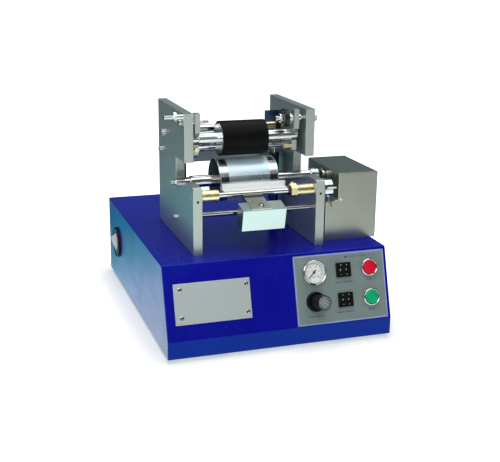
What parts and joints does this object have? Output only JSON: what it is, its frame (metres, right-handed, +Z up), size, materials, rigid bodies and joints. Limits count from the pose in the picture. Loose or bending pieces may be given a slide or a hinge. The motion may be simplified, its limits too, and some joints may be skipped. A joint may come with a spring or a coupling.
{
  "type": "roller proofing press",
  "caption": "Benchtop roller press: rubber impression roller over a plate cylinder between side plates, with a weighted doctor blade and a sloped control cabinet.",
  "frame": {"origin": "on the table under the middle of the cabinet's footprint", "axes": "+X to the operator's right, along the roller; +Y from the front panel to the back; +Z up"},
  "size_m": [0.4199, 0.5633, 0.3901],
  "materials": {
    "blue_paint": "smooth semi-gloss enamel",
    "zinc_sheet": "plain grey sheet",
    "stainless": "fine brushed",
    "frame_plate": "ground, satin",
    "panel_grey": "matte film overlay",
    "chrome": "polished",
    "ground_steel": "ground bright",
    "brass": "turned",
    "rubber_black": "ground rubber",
    "black_plastic": "fine texture",
    "black_metal": "black oxide",
    "white_plastic": "smooth",
    "red_plastic": "smooth",
    "green_plastic": "smooth",
    "dial_white": "printed dial",
    "clear_lens": "clear",
    "motor_grey": "cast",
    "belt_rubber": "toothed belt"
  },
  "bodies": {
    "frame": {"base_cabinet": "blue_paint", "rear_panel": "blue_paint", "bottom_plate": "zinc_sheet", "rubber_feet": "rubber_black", "drive_controller": "motor_grey", "blank_cover_plate": "stainless", "panel_screws": "chrome", "control_panel_plate": "panel_grey", "gauge_case": "chrome", "gauge_dial": "dial_white", "gauge_lens": "clear_lens", "regulator_body": "black_plastic", "selector_housings": "black_plastic", "button_bezels": "chrome", "isolator_plate": "black_plastic", "mains_inlet": "black_plastic", "air_inlet_fitting": "chrome", "left_side_plate": "frame_plate", "right_side_plate": "frame_plate", "tie_rods": "chrome", "rear_stay_plate": "frame_plate", "frame_screws": "chrome", "blade_shaft_bushes": "brass", "air_cylinders": "black_metal", "drive_bracket": "motor_grey", "drive_motor": "motor_grey", "drive_belt": "belt_rubber", "housing_cover": "stainless"},
    "carriage": {"left_arm": "frame_plate", "right_arm": "frame_plate", "carriage_rods": "chrome", "carriage_brasses": "brass", "bracket_plate": "chrome", "stop_bolts": "chrome"},
    "pressure_wheel": {"adjusting_wheel": "black_metal"},
    "roller": {"impression_roller_core": "ground_steel", "rubber_cover": "rubber_black"},
    "cylinder": {"plate_cylinder": "ground_steel", "engraved_plate": "chrome", "plate_clamps": "black_metal", "cylinder_shaft": "chrome", "drive_shaft": "ground_steel"},
    "motor_pulley_body": {"motor_pulley": "motor_grey"},
    "blade": {"blade_shaft": "chrome", "blade_collar": "brass", "blade_holder": "ground_steel", "doctor_blade": "ground_steel", "weight_bracket": "ground_steel", "weight_block": "ground_steel", "throw_off_lever": "chrome"},
    "pistons": {"piston_rods": "chrome"},
    "needle": {"gauge_needle": "black_metal"},
    "knob": {"regulator_knob": "black_plastic"},
    "stop_button": {"stop_button_cap": "red_plastic"},
    "start_button": {"start_button_cap": "green_plastic"},
    "isolator": {"isolator_handle": "white_plastic"},
    "wheel_upper_left": {"digit_wheel_upper_left": "black_plastic"},
    "wheel_upper_right": {"digit_wheel_upper_right": "black_plastic"},
    "wheel_lower_left": {"digit_wheel_lower_left": "black_plastic"},
    "wheel_lower_right": {"digit_wheel_lower_right": "black_plastic"}
  },
  "joints": [
    {"name": "carriage_press", "type": "hinge", "parent": "frame", "child": "carriage", "pos_m": [0, 0.024, 0.3315], "axis": [1, 0, 0], "range_deg": [0, 2.2], "stiffness_Nm_per_rad": 60, "springref_deg": -5.73},
    {"name": "piston_slide", "type": "slide", "parent": "frame", "child": "pistons", "axis": [0, 0, 1], "range_m": [-0.0012, 0]},
    {"name": "roller_spin", "type": "hinge", "parent": "carriage", "child": "roller", "pos_m": [0, -0.0955, 0.3385], "axis": [1, 0, 0], "continuous": true},
    {"name": "pressure_wheel_turn", "type": "hinge", "parent": "carriage", "child": "pressure_wheel", "pos_m": [0.05, -0.1069, 0.3705], "axis": [1, 0, 0], "continuous": true},
    {"name": "cylinder_spin", "type": "hinge", "parent": "frame", "child": "cylinder", "pos_m": [0, -0.0955, 0.265], "axis": [1, 0, 0], "continuous": true},
    {"name": "motor_spin", "type": "hinge", "parent": "frame", "child": "motor_pulley_body", "pos_m": [0.16, -0.0955, 0.19], "axis": [1, 0, 0], "continuous": true},
    {"name": "blade_swing", "type": "hinge", "parent": "frame", "child": "blade", "pos_m": [0, -0.1645, 0.2555], "axis": [1, 0, 0], "range_deg": [-20, 0]},
    {"name": "needle_turn", "type": "hinge", "parent": "frame", "child": "needle", "pos_m": [0.0605, -0.23047, 0.12643], "axis": [0, -0.9556, 0.2946], "range_deg": [-270, 0], "stiffness_Nm_per_rad": 0.0005, "springref_deg": 5.73},
    {"name": "knob_turn", "type": "hinge", "parent": "frame", "child": "knob", "pos_m": [0.0605, -0.25953, 0.08307], "axis": [0, -0.9556, 0.2946], "continuous": true},
    {"name": "stop_press", "type": "slide", "parent": "frame", "child": "stop_button", "axis": [0, 0.9556, -0.2946], "range_m": [0, 0.003], "stiffness_N_per_m": 500, "springref_m": -0.002},
    {"name": "start_press", "type": "slide", "parent": "frame", "child": "start_button", "axis": [0, 0.9556, -0.2946], "range_m": [0, 0.003], "stiffness_N_per_m": 500, "springref_m": -0.002},
    {"name": "isolator_turn", "type": "hinge", "parent": "frame", "child": "isolator", "pos_m": [-0.205, 0.1665, 0.087], "axis": [-1, 0, 0], "range_deg": [0, 90]},
    {"name": "wheel_upper_left_turn", "type": "hinge", "parent": "frame", "child": "wheel_upper_left", "pos_m": [0.11, -0.22001, 0.123], "axis": [1, 0, 0], "continuous": true},
    {"name": "wheel_upper_right_turn", "type": "hinge", "parent": "frame", "child": "wheel_upper_right", "pos_m": [0.1208, -0.22001, 0.123], "axis": [1, 0, 0], "continuous": true},
    {"name": "wheel_lower_left_turn", "type": "hinge", "parent": "frame", "child": "wheel_lower_left", "pos_m": [0.11, -0.2351, 0.07407], "axis": [1, 0, 0], "continuous": true},
    {"name": "wheel_lower_right_turn", "type": "hinge", "parent": "frame", "child": "wheel_lower_right", "pos_m": [0.1208, -0.2351, 0.07407], "axis": [1, 0, 0], "continuous": true}
  ],
  "couplings": [
    {"joint": "piston_slide", "follows": "carriage_press", "m_per_rad": -0.0265},
    {"joint": "motor_spin", "follows": "cylinder_spin", "ratio": 0.75}
  ]
}
